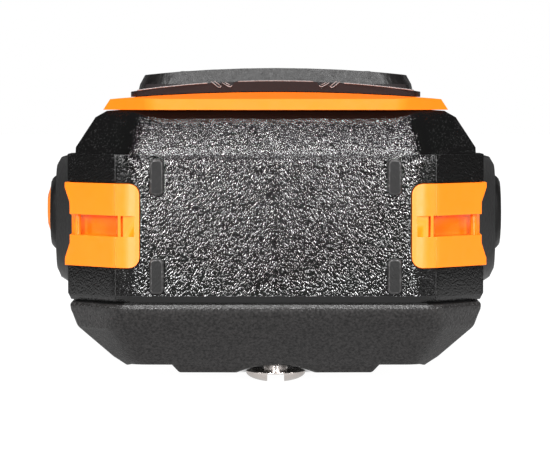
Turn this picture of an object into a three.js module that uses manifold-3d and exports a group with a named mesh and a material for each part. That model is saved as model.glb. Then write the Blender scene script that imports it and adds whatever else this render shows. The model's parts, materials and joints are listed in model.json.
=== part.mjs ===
// Rugged laser distance meter, lying on its back.
// Millimetres. +X is the right-hand side seen from the rear end, +Y points the way the laser fires, +Z is up.
// The shapes are drawn in the device's own frame: y = 0 is the rear reference plane that the four pads make,
// z = 0 is the middle of the bumpers. The root group carries that frame to the part's frame, whose origin is
// the centre of the bounding box's bottom.

import * as THREE from 'three';
import { mergeVertices } from 'three/addons/utils/BufferGeometryUtils.js';
import Module from 'manifold-3d';

const wasm = await Module();
wasm.setup();

// ---------------------------------------------------------------- driving dimensions
const LENGTH = 140;
const FACE = 0.8; // the rear face, behind the plane of the pads
const SEAM = 0.3; // gap between the upper housing and the back
const FIT = 0.15; // gap all round a piece that drops into its seat
const SKIN = 0.03; // how far the bumpers' ends stand out of the body between them

const BUMPER = { half: 31.9, top: 10.5, facet: 22.2, length: 19.6 };
const BODY = { half: 30.7, bottom: -11.8, bend: 9, lean: 0.594, facet: 21.3, shoulder: 17.1 };
const WALL = 2.1;
const BACK = { top: BODY.bottom - SEAM, base: -21.76, runner: -23.04 };
const HINGE = { y: 84, z: -21.6, radius: 1.44, half: 7, reach: 13, pin: 0.6 };
const COIN_SCREW = {
  y: 13, head: 4.59, rim: -23.06, neck: 1.82, neckFoot: -22.98, tip: -9, shank: 1.6, bottom: -24.84,
  slot: 1.45,
};
const FRAME = {
  bottom: BODY.shoulder + FIT, edge: 18.9, crown: 19.96, crownRadius: 303, half: 26.5, rear: 3.2,
  slopeEnd: 12.6,
};
const BEZEL = { half: 22.6, rear: 12.2, front: 128, corner: 6, flangeTop: 21.7, top: 23.7 };
const KEYPAD = { floor: 22.3, plateUnder: 20, flangeTop: 18.6, bottom: 17.3 };
const CELL = { radius: 5.25, length: 43.5, pitch: 10.8, z: -15, rear: 22.1, front: 72.3 };
const LUG = { near: 20.5, top: 6.15, bottom: -6.53, proud: 0.45, depth: 5, corner: 1.6 };
const SLOT = { top: 1.3, bottom: -1.85, near: 23.9, shallow: 21, depth: 3.2 };
const BAR = { x: 30.35, y: 9.5, radius: 0.5 };
const PAD = {
  x: 17.9, half: 1.08, corner: 0.7, edge: 0.26, upper: [4.43, 9.83], lower: [-10.45, -5.1], seat: 1.4,
};
const GRIP = { rear: 20, front: 120, seat: 30.85, half: 36.85 };
const SIDE_KEY = { y: 52, z: 0.8, half: 4.8, length: 13 };
const RIM = { z: 0.3, half: 5.3 };
const RECEIVER = { x: -7, z: 0, radius: 7.2 };
const LASER = { x: 12.5, z: 0, radius: 3.2 };
const TRIPOD = { y: 113, bore: 3.175, outer: 5.6, depth: 8 };

// ---------------------------------------------------------------- materials
const plastic = (color, roughness) => new THREE.MeshStandardMaterial({ color, roughness, metalness: 0 });
const metal = (color, roughness) => new THREE.MeshStandardMaterial({ color, roughness, metalness: 1 });
const MATERIAL = {
  housing: plastic(0x1d1c1d, 0.5),
  back: plastic(0x2a292a, 0.6),
  bezel: plastic(0x3a3837, 0.55),
  orange: plastic(0xf98a08, 0.4),
  rubber: plastic(0x1a191a, 0.8),
  keyGrey: plastic(0x4a4948, 0.7),
  silicone: plastic(0x8b8d8e, 0.8),
  display: plastic(0x7f8a78, 0.3),
  glass: plastic(0x0c0d10, 0.05),
  lens: plastic(0x9db4c8, 0.05),
  board: plastic(0x14502c, 0.6),
  nickel: metal(0xb9aea4, 0.25),
  brass: metal(0xb08d4a, 0.35),
  alloy: metal(0x9a9c9f, 0.45),
  cell: plastic(0x2f6f9a, 0.35),
};

// ---------------------------------------------------------------- solids from three.js geometry
const vec = (x, y, z) => new THREE.Vector3(x, y, z);
const TURN = {
  x: new THREE.Matrix4().makeBasis(vec(0, 1, 0), vec(0, 0, 1), vec(1, 0, 0)), // outline in (y, z)
  y: new THREE.Matrix4().makeBasis(vec(0, 0, 1), vec(1, 0, 0), vec(0, 1, 0)), // outline in (z, x)
  z: new THREE.Matrix4(), // outline in (x, y)
};

function solidOf(geometry) {
  const bare = new THREE.BufferGeometry();
  const source = geometry.index ? geometry.toNonIndexed() : geometry;
  bare.setAttribute('position', source.getAttribute('position'));
  const merged = mergeVertices(bare, 1e-4);
  return new wasm.Manifold(new wasm.Mesh({
    numProp: 3,
    vertProperties: merged.attributes.position.array,
    triVerts: new Uint32Array(merged.index.array),
  }));
}

function geometryOf(solid) {
  const mesh = solid.getMesh();
  const geometry = new THREE.BufferGeometry();
  geometry.setAttribute('position', new THREE.BufferAttribute(new Float32Array(mesh.vertProperties), 3));
  geometry.setIndex(new THREE.BufferAttribute(new Uint32Array(mesh.triVerts), 1));
  return geometry;
}

const join = (...solids) => solids.reduce((whole, piece) => whole.add(piece));
const cut = (solid, ...tools) => tools.reduce((left, tool) => left.subtract(tool), solid);

function moved(solid, matrix) {
  return solidOf(geometryOf(solid).applyMatrix4(matrix));
}

// The mirror image in the plane x = 0, with its faces turned back to point outwards.
function mirrored(solid) {
  const geometry = geometryOf(solid).applyMatrix4(new THREE.Matrix4().makeScale(-1, 1, 1));
  const index = geometry.index.array;
  for (let i = 0; i < index.length; i += 3) [index[i], index[i + 1]] = [index[i + 1], index[i]];
  return solidOf(geometry);
}

const bothSides = (solid) => solid.add(mirrored(solid));

function box(x, y, z) {
  const geometry = new THREE.BoxGeometry(x[1] - x[0], y[1] - y[0], z[1] - z[0]);
  geometry.translate((x[0] + x[1]) / 2, (y[0] + y[1]) / 2, (z[0] + z[1]) / 2);
  return solidOf(geometry);
}

// An outline swept straight along an axis, from one value of that axis to the other.
function prism(axis, points, from, to) {
  const shape = new THREE.Shape(points.map(([u, v]) => new THREE.Vector2(u, v)));
  const geometry = new THREE.ExtrudeGeometry(shape, { depth: to - from, bevelEnabled: false, steps: 1 });
  geometry.translate(0, 0, from).applyMatrix4(TURN[axis]);
  return solidOf(geometry);
}

function cylinder(axis, centre, radius, from, to, segments = 24) {
  const points = Array.from({ length: segments }, (_, i) => {
    const angle = (2 * Math.PI * (i + 0.5)) / segments;
    return [centre[0] + radius * Math.cos(angle), centre[1] + radius * Math.sin(angle)];
  });
  return prism(axis, points, from, to);
}

// A solid of revolution about an upright axis through (x, y); the profile is a list of [radius, z].
function turned(profile, x, y, segments = 32) {
  const geometry = new THREE.LatheGeometry(profile.map(([r, z]) => new THREE.Vector2(r, z)), segments);
  geometry.rotateX(Math.PI / 2).translate(x, y, 0);
  const solid = solidOf(geometry);
  if (solid.volume() > 0) return solid;
  const index = geometry.index.array;
  for (let i = 0; i < index.length; i += 3) [index[i], index[i + 1]] = [index[i + 1], index[i]];
  return solidOf(geometry);
}

// A skin over parallel outlines that all have the same number of points, with flat ends.
function loft(axis, sections) {
  const count = sections[0].points.length;
  const rings = sections.toSorted((a, b) => a.at - b.at).map(({ at, points }) => {
    const outline = points.map(([u, v]) => new THREE.Vector2(u, v));
    if (THREE.ShapeUtils.area(outline) < 0) outline.reverse();
    return { at, outline };
  });
  const positions = rings.flatMap(({ at, outline }) => outline.flatMap((p) => [p.x, p.y, at]));
  const index = [];
  for (let s = 0; s + 1 < rings.length; s++) {
    for (let i = 0; i < count; i++) {
      const j = (i + 1) % count;
      const [a, b, c, d] = [s * count + i, s * count + j, (s + 1) * count + j, (s + 1) * count + i];
      index.push(a, b, c, a, c, d);
    }
  }
  const last = (rings.length - 1) * count;
  for (const [i, j, k] of THREE.ShapeUtils.triangulateShape(rings[0].outline, [])) index.push(k, j, i);
  for (const [i, j, k] of THREE.ShapeUtils.triangulateShape(rings.at(-1).outline, [])) {
    index.push(last + i, last + j, last + k);
  }
  const geometry = new THREE.BufferGeometry();
  geometry.setAttribute('position', new THREE.Float32BufferAttribute(positions, 3));
  geometry.setIndex(index);
  return solidOf(geometry.applyMatrix4(TURN[axis]));
}

// ---------------------------------------------------------------- outlines
// The other half of an outline that is the same on both sides of x = 0.
const bothHalves = (half) => [...half, ...half.toReversed().map(([x, y]) => [-x, y])];

// A rectangle with round corners, about (u, v).
function roundRectangle(u, v, halfU, halfV, radius, steps = 4) {
  const corners = [[1, -1], [1, 1], [-1, 1], [-1, -1]];
  return corners.flatMap(([a, b], i) => Array.from({ length: steps + 1 }, (_, k) => {
    const angle = (Math.PI / 2) * (i - 1 + k / steps);
    return [
      u + a * (halfU - radius) + radius * Math.cos(angle),
      v + b * (halfV - radius) + radius * Math.sin(angle),
    ];
  }));
}

// A rounded turn of 45 degrees, from the flat rear end into a corner's face.
// Reach is its length on each side.
function turnIn(x, y, reach, steps) {
  const radius = reach / Math.tan(Math.PI / 8);
  return Array.from({ length: steps + 1 }, (_, i) => {
    const angle = ((Math.PI / 4) * i) / steps;
    return [x - reach + radius * Math.sin(angle), y + radius * (1 - Math.cos(angle))];
  });
}

// The plan of the body: flat ends at rear and LENGTH - rear, and 45 degree corners on the line x - y = facet.
function bodyPlan(half, rear, facet, reach = 2.2) {
  const end = [...turnIn(facet + rear, rear, reach, 3), [half, half - facet]];
  return bothHalves([...end, ...turnedRound(end).toReversed()]);
}

// The same plan with sharp corners, for hollows.
function hollowPlan(half, rear, facet) {
  const end = [[facet + rear, rear], [half, half - facet]];
  return bothHalves([...end, ...turnedRound(end).toReversed()]);
}

// The plan of one bumper.
function bumperPlan(half, rear, facet, end) {
  return bothHalves([
    ...turnIn(facet + rear, rear, 2.9, 5), [half, half - facet], [half, end - 1.2], [half - 1.3, end],
  ]);
}

const turnedRound = (points) => points.map(([x, y]) => [x, LENGTH - y]);

// A strip between two arcs that are level at x = 0: the section of a crowned plate, in (z, x).
function crownSection(half, low, lowRadius, high, highRadius, steps = 10) {
  const arc = (level, radius) => Array.from({ length: steps + 1 }, (_, i) => {
    const x = -half + (2 * half * i) / steps;
    return [level - (x * x) / (2 * radius), x];
  });
  return [...arc(low, lowRadius), ...arc(high, highRadius).toReversed()];
}

// ---------------------------------------------------------------- upper housing
// How far the rear end leans back at a height: none below the bend, then a soft start over 2.4 mm.
function leanAt(z) {
  const rise = Math.max(0, z - BODY.bend);
  return FACE + BODY.lean * (rise < 2.4 ? (rise * rise) / 4.8 : rise - 1.2);
}

function shoulderSolid() {
  const section = (z, half, set = 0) => {
    const facet = BODY.facet - Math.max(0, z - BODY.bend - 1.2) * 0.8;
    return { at: z, points: bodyPlan(half - set, leanAt(z) + set, facet - set) };
  };
  const levels = [BODY.bottom + 1, BODY.bend, BODY.bend + 0.8, BODY.bend + 1.6, BODY.bend + 2.5];
  return loft('z', [
    section(BODY.bottom, BODY.half, 0.5), ...levels.map((z) => section(z, BODY.half)), section(16.1, 27.7),
    section(BODY.shoulder, 26.4, 0.5),
  ]);
}

// The rear bumper; the front one is the same, turned end for end.
function bumperSolid(turn = (points) => points) {
  const section = (z, set = 0) => {
    const rear = leanAt(z) - SKIN + set;
    return { at: z, points: turn(bumperPlan(BUMPER.half - set, rear, BUMPER.facet - set, BUMPER.length)) };
  };
  const levels = [BODY.bottom + 1, BODY.bend, BODY.bend + 0.8, BUMPER.top];
  return loft('z', [section(BODY.bottom, 0.5), ...levels.map((z) => section(z))]);
}

// The hollow, which keeps thick posts in the four corners, behind the lugs.
function housingHollow() {
  const posts = 13;
  const section = (z, half, rear, facet) => ({ at: z, points: hollowPlan(half, rear, facet) });
  return loft('z', [
    section(BODY.bottom - 1, BODY.half - WALL, FACE + WALL, posts),
    section(10, BODY.half - WALL, FACE + WALL, posts),
    section(BODY.shoulder - 2, 25, FACE + WALL + 3.4, posts - 4),
  ]);
}

function padSolid(span, extra, depth) {
  const [low, high] = span;
  const outline = (grow) => roundRectangle(
    (low + high) / 2, PAD.x, (high - low) / 2 + grow, PAD.half + grow, PAD.corner + grow, 4,
  );
  return loft('y', [
    { at: 0, points: outline(extra - PAD.edge) },
    { at: PAD.edge, points: outline(extra) },
    { at: depth, points: outline(extra) },
  ]);
}

// The lug wraps round the corner: thin on the rear face, and as thick as its depth on the corner's face.
function lugOutline(extra) {
  const proud = LUG.proud * Math.SQRT2 + extra;
  const facet = BUMPER.facet + proud;
  const side = BUMPER.half + LUG.proud + extra;
  const inside = facet - (LUG.depth + 2 * extra) * Math.SQRT2;
  const near = LUG.near - extra;
  const face = FACE - 0.3 - extra;
  const end = 17.8 + extra;
  const inner = side - 3.4 - 2 * extra;
  return [
    [near, face], ...turnIn(facet + face, face, 2.2, 6), [side, side - facet], [side, end], [inner, end],
    [inner, inner - inside], [near, near - inside],
  ];
}

function lugSolid(extra) {
  const block = prism('z', lugOutline(extra), LUG.bottom - extra, LUG.top + extra);
  const [near, far] = [LUG.near - extra, 45];
  const level = (LUG.top + LUG.bottom) / 2;
  const halfHeight = (LUG.top - LUG.bottom) / 2 + extra;
  const face = roundRectangle(level, (near + far) / 2, halfHeight, (far - near) / 2, LUG.corner + extra, 4);
  return block.intersect(prism('y', face, -1, 20));
}

const SCREW_PLACES = [[24.6, 30], [23.5, LENGTH - 7.5]];

function upperHousing() {
  const windowTop = box([-19.6, 19.6], [17, 125], [BODY.shoulder - 3, BODY.shoulder + 1]);
  const sideHole = box(
    [25, 33], [SIDE_KEY.y - 8, SIDE_KEY.y + 8], [SIDE_KEY.z - 3.2, SIDE_KEY.z + 3.2],
  );
  const pads = [PAD.upper, PAD.lower].map((span) => bothSides(padSolid(span, FIT / 2, PAD.seat + FIT)));
  const screws = SCREW_PLACES.map(([x, y]) => bothSides(cylinder('z', [x, y], 1.15, -13, 2, 12)));
  const posts = bothSides(cylinder('z', SCREW_PLACES[0], 2.8, -8, BODY.shoulder - 1.5, 16));
  const plate = frontPlateSolid(FIT);
  const apertures = [RECEIVER, LASER].map(({ x, z, radius }) => (
    cylinder('y', [z, x], radius + 0.6, LENGTH - 8, LENGTH, 32)
  ));
  const rear = bumperSolid();
  const front = bumperSolid(turnedRound);
  const shell = cut(join(shoulderSolid(), rear, front), housingHollow());
  return cut(
    join(shell, posts), windowTop, bothSides(sideHole), ...pads, ...screws, plate, ...apertures,
    bothSides(lugSolid(FIT)),
  );
}

// ---------------------------------------------------------------- strap lug
// A point that lies u along the corner's face from x = facet, and v deep in it.
function onCorner(u, v) {
  const facet = BUMPER.facet + LUG.proud * Math.SQRT2;
  return [facet + (u - v) * Math.SQRT1_2, (u + v) * Math.SQRT1_2];
}

// The slot runs along the corner and out of the meter's side, and the bar stands across it.
function strapSlot() {
  const facet = BUMPER.facet + LUG.proud * Math.SQRT2;
  const near = (SLOT.near - facet) * Math.SQRT2;
  const deep = [onCorner(near, -2), onCorner(near + 14, -2), onCorner(near + 14, 3), onCorner(18, SLOT.depth),
    onCorner(near, SLOT.depth)];
  const ramp = [
    [SLOT.shallow, FACE - 0.35], [SLOT.near, -1], onCorner(near + 0.2, 1.5), [SLOT.near - 0.9, FACE + 0.25],
  ];
  const slot = join(...[deep, ramp].map((outline) => prism('z', outline, SLOT.bottom, SLOT.top)));
  return cut(slot, cylinder('z', [BAR.x, BAR.y], BAR.radius, SLOT.bottom - 1, SLOT.top + 1, 16));
}

function strapLug() {
  const side = BUMPER.half + LUG.proud;
  // The finger scoop along the outer edge, in (z, x).
  const scoop = [
    [-5.5, side + 0.01], [-3.1, side - 0.8], [3.1, side - 0.8], [5.4, side + 0.01], [5.4, side + 2],
    [-5.5, side + 2],
  ];
  return cut(lugSolid(0), strapSlot(), prism('y', scoop, 4, 19));
}

// ---------------------------------------------------------------- side grip and side key
function gripSection(x, halfLength, low, high, radius) {
  const middle = (GRIP.rear + GRIP.front) / 2;
  return { at: x, points: roundRectangle(middle, (low + high) / 2, halfLength, (high - low) / 2, radius, 5) };
}

function keyOutline(extra) {
  const half = SIDE_KEY.half + extra;
  return roundRectangle(SIDE_KEY.y, SIDE_KEY.z, SIDE_KEY.length + extra, half, half - 0.4);
}

function sideGrip() {
  const half = (GRIP.front - GRIP.rear) / 2;
  const base = loft('x', [
    gripSection(GRIP.seat, half, -10.5, 10, 3), gripSection(GRIP.seat + 1, half, -10.5, 10, 3),
    gripSection(34.7, half - 12, -10.1, 9.6, 4), gripSection(35.7, half - 16, -8.9, 8.3, 4),
    gripSection(36, half - 19, -7.4, 6.9, 4),
  ]);
  const rimLength = SIDE_KEY.length + 0.7;
  const rim = (x, grow) => ({
    at: x, points: roundRectangle(SIDE_KEY.y, RIM.z, rimLength + grow, RIM.half + grow, RIM.half - 0.5),
  });
  const raised = loft('x', [rim(35.2, 1.2), rim(GRIP.half - 0.5, 0.6), rim(GRIP.half, 0.1)]);
  const seatHole = prism('x', keyOutline(0.25), GRIP.seat + 1.6, GRIP.half + 1);
  const stemHole = box(
    [GRIP.seat - 1, GRIP.half], [SIDE_KEY.y - 8, SIDE_KEY.y + 8], [SIDE_KEY.z - 3.2, SIDE_KEY.z + 3.2],
  );
  return cut(join(base, raised), seatHole, stemHole);
}

// The cap of a side key, its stem and the foot that keeps it in the housing.
function sideKey(crest) {
  const cap = loft('x', [
    { at: 34, points: keyOutline(0) }, { at: crest - 0.7, points: keyOutline(0) },
    { at: crest, points: keyOutline(-1.6).map(([y, z]) => [y, SIDE_KEY.z + (z - SIDE_KEY.z) * 0.8]) },
  ]);
  const stem = box([29.2, 34.1], [SIDE_KEY.y - 7.4, SIDE_KEY.y + 7.4], [SIDE_KEY.z - 2.6, SIDE_KEY.z + 2.6]);
  const foot = box([27.4, 28.3], [SIDE_KEY.y - 9, SIDE_KEY.y + 9], [SIDE_KEY.z - 3, SIDE_KEY.z + 3]);
  const neck = box([28.2, 29.3], [SIDE_KEY.y - 7.4, SIDE_KEY.y + 7.4], [SIDE_KEY.z - 2.6, SIDE_KEY.z + 2.6]);
  return join(cap, stem, neck, foot);
}

// ---------------------------------------------------------------- front plate and windows
function frontPlateSolid(extra) {
  const outline = roundRectangle(0, 0, 9.2 + extra, 20 + extra, 3 + extra, 4);
  return prism('y', outline, LENGTH - 3 - extra, LENGTH);
}

function frontPlate() {
  const trimmed = frontPlateSolid(0).intersect(box([-30, 30], [100, LENGTH - 0.1], [-30, 30]));
  const holes = [RECEIVER, LASER].map(({ x, z, radius }) => (
    cylinder('y', [z, x], radius, 130, LENGTH + 1, 32)
  ));
  const rebates = [RECEIVER, LASER].map(({ x, z, radius }) => (
    cylinder('y', [z, x], radius + 1 + FIT, 130, LENGTH - 1.6, 32)
  ));
  return cut(trimmed, ...holes, ...rebates);
}

const windowDisc = ({ x, z, radius }) => join(
  cylinder('y', [z, x], radius + 1, LENGTH - 2.9, LENGTH - 1.75, 32),
  cylinder('y', [z, x], radius - FIT, LENGTH - 1.8, LENGTH - 0.6, 32),
);

// ---------------------------------------------------------------- top frame and front bezel
function topFrame() {
  const { half, rear, edge, crown: crest, slopeEnd } = FRAME;
  const edgeRear = rear + 1;
  const plan = loft('z', [
    { at: FRAME.bottom, points: bodyPlan(half, rear, half - 10.9, 1.6) },
    { at: FRAME.edge, points: bodyPlan(half - 1.1, edgeRear, half - 11.6, 1.6) },
    { at: 21, points: bodyPlan(half - 1.1, edgeRear, half - 11.6, 1.6) },
  ]);
  const crown = prism('y', crownSection(30, 10, 1e9, crest, FRAME.crownRadius), 0, LENGTH);
  const rearSlope = [[0, 10], [0, edge - 0.8], [edgeRear, edge], [slopeEnd, crest]];
  const frontSlope = rearSlope.map(([y, z]) => [LENGTH - y, z]).reverse();
  const pillow = prism('x', [...rearSlope, ...frontSlope], -30, 30);
  const window = box([-19, 19], [17, 125], [15, 22]);
  return cut(plan.intersect(crown).intersect(pillow), window);
}

// Keys on the front: name, centre, half sizes and corner radius.
const KEY_ROWS = { measure: 60.5, upper: 42.5, lower: 29 };
const KEYS = [
  ['key_measure', 0, KEY_ROWS.measure, 7.4, 7.4, 7],
  ['key_area', -12.9, KEY_ROWS.measure, 3.5, 5.8, 2],
  ['key_reference', 12.9, KEY_ROWS.measure, 3.5, 5.8, 2],
  ['key_plus', -11.2, KEY_ROWS.upper, 4.4, 4.2, 2],
  ['key_menu', 0, KEY_ROWS.upper, 4.8, 4.2, 2],
  ['key_minus', 11.2, KEY_ROWS.upper, 4.4, 4.2, 2],
  ['key_memory', -11.2, KEY_ROWS.lower, 4.4, 4.2, 2],
  ['key_units', 0, KEY_ROWS.lower, 4.8, 4.2, 2],
  ['key_clear', 11.2, KEY_ROWS.lower, 4.4, 4.2, 2],
];
const KEY_GAP = 0.25;
const keyPrism = ([, x, y, halfX, halfY, radius], grow, from, to) => (
  prism('z', roundRectangle(x, y, halfX + grow, halfY + grow, radius + grow, 3), from, to)
);

function frontBezel() {
  const { half, rear, front, corner } = BEZEL;
  const middle = (rear + front) / 2;
  const reach = (front - rear) / 2;
  const plan = (aside, ahead) => (
    roundRectangle(0, middle, half - aside, reach - ahead, corner - ahead / 2, 5)
  );
  const under = FRAME.crown + 0.12;
  const flangeBlock = loft('z', [
    { at: 19, points: plan(0, 0.9) }, { at: 21.5, points: plan(0, 0) }, { at: 22.2, points: plan(0, 0) },
  ]);
  const flange = flangeBlock.intersect(
    prism('y', crownSection(25, under, FRAME.crownRadius, BEZEL.flangeTop, 155), 0, LENGTH),
  );
  const tierBlock = loft('z', [
    { at: 20.3, points: plan(1.2, 1.2) },
    { at: 21.2, points: plan(1.4, 1.4) },
    { at: 24, points: plan(2.9, 2.9) },
  ]);
  const tier = tierBlock.intersect(
    prism('y', crownSection(25, 20.3, 1e9, BEZEL.top, 196), 0, LENGTH),
  );
  const skirt = cut(
    box([-18.7, 18.7], [17.4, 124.6], [17.5, 20.6]),
    box([-17.4, 17.4], [18.7, 123.3], [17, KEYPAD.plateUnder]),
  );
  const field = prism('z', roundRectangle(0, 46.3, 17, 25, 4), KEYPAD.floor, 25);
  const keyHoles = KEYS.map((key) => keyPrism(key, KEY_GAP, 15, 25));
  const windowSeat = prism('z', roundRectangle(0, 98, 16.6, 21, 2.4), 21.9, 25);
  const viewHole = prism('z', roundRectangle(0, 98, 14.6, 19, 1.6), 15, 25);
  // Two notches with two teeth each in the rear edge of the flange, in (z, x).
  const notch = [
    [22.2, -10.6], [20.43, -8.8], [20.43, -8.6], [21.3, -8.3], [20.58, -7.2], [20.58, -7], [22.2, -5.75],
  ];
  const notches = bothSides(prism('y', notch, rear - 1, rear + 1.2));
  return cut(join(flange, tier, skirt), field, ...keyHoles, windowSeat, viewHole, notches);
}

// A key's cap with a softened top edge, and the foot that keeps it under the bezel.
function keyCap(key) {
  const [, x, y, halfX, halfY, radius] = key;
  const crown = BEZEL.top - (x * x) / (2 * 196) - 0.05;
  const section = (z, set) => ({
    at: z, points: roundRectangle(x, y, halfX - set, halfY - set, radius - set, 3),
  });
  const cap = loft('z', [section(KEYPAD.flangeTop - 0.4, 0), section(crown - 0.45, 0), section(crown, 0.45)]);
  return join(cap, keyPrism(key, 0.7, KEYPAD.bottom, KEYPAD.flangeTop));
}

// ---------------------------------------------------------------- back: hull shared by cover and back shell
const HULL = [
  [BACK.top, 31.3, 1.3], [-12.6, 31.5, 1.05], [-13.3, 31.4, 1.1], [-14, 31.1, 1.4], [-15.9, 30.4, 2.6],
  [-20.6, 25, 6.5], [-22, 22.9, 7.9], [BACK.runner, 22, 8.6],
];

function hullSolid() {
  return loft('z', HULL.map(([z, half, rear]) => ({
    at: z, points: bodyPlan(half, rear, half - 8.2 - rear * 0.2, 1.8),
  })));
}

// What the underside leaves away, in (z, x): beside the runners, and a shallow groove between them that runs
// from the rear to grooveEnd.
function undersideRelief(grooveEnd) {
  const low = BACK.runner - 1;
  const outer = [
    [BACK.base, 15.9], [BACK.base, 22.1], [BACK.base - 0.24, 22.9], [low, 26], [low, 14.8],
    [BACK.runner, 14.8],
  ];
  const groove = Array.from({ length: 9 }, (_, i) => {
    const x = -6 + 1.5 * i;
    return [BACK.runner - 0.01 + (BACK.base - BACK.runner) * (1 - (x / 6) ** 2), x];
  });
  return join(
    bothSides(prism('y', outer, -1, LENGTH + 1)), prism('y', [[low, -6], ...groove, [low, 6]], -1, grooveEnd),
  );
}

const hingeBar = (radius, from, to) => cylinder('x', [HINGE.y, HINGE.z], radius, from, to, 20);

function batteryCover() {
  const edge = HINGE.y - 0.4;
  const whole = hullSolid().intersect(box([-40, 40], [-1, edge], [-30, 0]));
  const hollow = loft('z', [
    { at: BACK.base + 1.4, points: hollowPlan(22.6, 9.6, 11.6) },
    { at: -15.5, points: hollowPlan(27, 4.8, 17) },
    { at: BACK.top + 1, points: hollowPlan(27.8, 4.4, 18.2) },
  ]).intersect(box([-40, 40], [0, edge - 2], [-30, 0]));
  const boss = cylinder('z', [0, COIN_SCREW.y], 5.2, BACK.base + 0.5, BACK.top - 0.3, 28);
  const bossBore = cylinder('z', [0, COIN_SCREW.y], 3.9, BACK.base + 1.4, 0, 28);
  const shankHole = cylinder('z', [0, COIN_SCREW.y], 2.1, -30, 0, 24);
  const corner = [
    [edge + 1, -20.6], [edge, -20.6], [edge - 1.6, BACK.runner], [edge - 1.6, -25], [edge + 1, -25],
  ];
  const knuckle = join(
    hingeBar(HINGE.radius, -HINGE.half, HINGE.half),
    box([-HINGE.half, HINGE.half], [edge - 2.4, HINGE.y], [HINGE.z - HINGE.radius, HINGE.z + HINGE.radius]),
  );
  const room = bothSides(box(
    [HINGE.half + 0.3, HINGE.reach + 0.3], [HINGE.y - 1.9, HINGE.y], [-25, HINGE.z + 1.7],
  ));
  const sealGroove = sealRing(0.12, -13.2, 0);
  const relief = undersideRelief(COIN_SCREW.y + COIN_SCREW.head + 0.5);
  const shell = join(cut(whole, hollow, relief, prism('x', corner, -40, 40)), boss);
  const pinHole = hingeBar(HINGE.pin + 0.15, -40, 40);
  return cut(join(cut(shell, room), knuckle), bossBore, shankHole, sealGroove, pinHole);
}

function sealRing(extra, low, high) {
  const ring = (half, rear, facet) => prism('z', hollowPlan(half, rear, facet), low, high)
    .intersect(box([-40, 40], [-1, 81.6 + extra + (half - 28.8)], [-30, 0]));
  return cut(ring(30 + extra, 2.3 - extra, 20.6 + extra), ring(28.8 - extra, 3.5 + extra, 19.4 - extra));
}

function backShell() {
  const edge = HINGE.y + 0.4;
  const hull = hullSolid().intersect(box([-40, 40], [edge, LENGTH + 1], [-30, 0]));
  const hollow = loft('z', [
    { at: BACK.base + 1.6, points: hollowPlan(22.4, 9.6, 11.4) },
    { at: -15.5, points: hollowPlan(27, 5.2, 17) },
    { at: BACK.top + 1, points: hollowPlan(28.2, 5, 17.8) },
  ]).intersect(box([-40, 40], [edge + 2, LENGTH], [-30, 0]));
  const corner = [
    [edge - 1, -20.6], [edge, -20.6], [edge + 1.6, BACK.runner], [edge + 1.6, -25], [edge - 1, -25],
  ];
  const plateRear = FACE + WALL + 2 * FIT;
  const plate = loft('z', [
    { at: -9.5, points: hollowPlan(28.3, plateRear, 12.5) },
    { at: -8.2, points: hollowPlan(28.3, plateRear, 12.5) },
  ]).intersect(box([-40, 40], [0, edge + 4], [-30, 0]));
  const bulkhead = box([-27.5, 27.5], [edge, edge + 2], [-13, -9]);
  const cellEnds = [[CELL.rear - 2.2, CELL.rear - 0.7], [CELL.front + 0.7, CELL.front + 2.2]];
  const ends = cellEnds.map((y) => box([-22, 22], y, [-18, -9]));
  const screwBoss = cylinder('z', [0, COIN_SCREW.y], 4.4, -12, -9, 24);
  const knuckle = bothSides(join(
    hingeBar(HINGE.radius, HINGE.half + 0.4, HINGE.reach),
    box(
      [HINGE.half + 0.4, HINGE.reach],
      [HINGE.y, edge + 2.4],
      [HINGE.z - HINGE.radius, HINGE.z + HINGE.radius],
    ),
  ));
  const room = box([-HINGE.half - 0.4, HINGE.half + 0.4], [HINGE.y, HINGE.y + 1.9], [-25, HINGE.z + 1.7]);
  const tripodBoss = cylinder('z', [0, TRIPOD.y], TRIPOD.outer + 2, -22.9, -12.6, 28);
  const posts = bothSides(cylinder('z', SCREW_PLACES[1], 3.4, -21, BACK.top, 16)).intersect(hull);
  const shell = join(cut(hull, hollow), tripodBoss, posts);
  const trimmed = cut(shell, undersideRelief(LENGTH + 1), prism('x', corner, -40, 40), room);
  const screwHoles = SCREW_PLACES.map(([x, y]) => bothSides(cylinder('z', [x, y], 1.4, -30, 0, 16)));
  const frontHeads = bothSides(cylinder('z', SCREW_PLACES[1], 2.4, -30, -16.4, 16));
  const tripodSeat = cylinder('z', [0, TRIPOD.y], TRIPOD.outer + 0.1, -30, -13.7, 28);
  const insertSeat = cylinder('z', [0, COIN_SCREW.y], 3.3, -13, -7, 24);
  return cut(
    join(trimmed, knuckle, plate, bulkhead, ...ends, screwBoss),
    ...screwHoles, frontHeads, tripodSeat, insertSeat, hingeBar(HINGE.pin + 0.15, -40, 40),
  );
}

// ---------------------------------------------------------------- coin screw and its hardware
function coinScrew() {
  const { head, rim, neck, neckFoot, tip, shank, bottom } = COIN_SCREW;
  const domeDepth = rim - 0.25 - bottom;
  const dome = Array.from({ length: 9 }, (_, i) => {
    const angle = ((Math.PI / 2) * i) / 8;
    return [head * Math.sin(angle), rim - 0.25 - domeDepth * Math.cos(angle)];
  });
  const profile = [...dome, [head, rim], [neck, neckFoot], [neck, -20.1], [shank, -20.1], [shank, tip + 0.6],
    [shank - 0.5, tip], [0, tip]];
  const slot = box([-1.31, 1.31], [5, 21], [bottom - 1, bottom + COIN_SCREW.slot]);
  return cut(turned(profile, 0, COIN_SCREW.y, 28), slot);
}

const ring = (y, inner, outer, low, high) => cut(
  cylinder('z', [0, y], outer, low, high, 24), cylinder('z', [0, y], inner, low - 1, high + 1, 24),
);

function housingScrew(x, y, headTop) {
  return turned([[0, headTop - 1.4], [1.5, headTop - 1.4], [2, headTop - 1], [2, headTop], [0.95, headTop],
    [0.95, headTop + 9], [0, headTop + 9.4]], x, y, 16);
}

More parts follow.
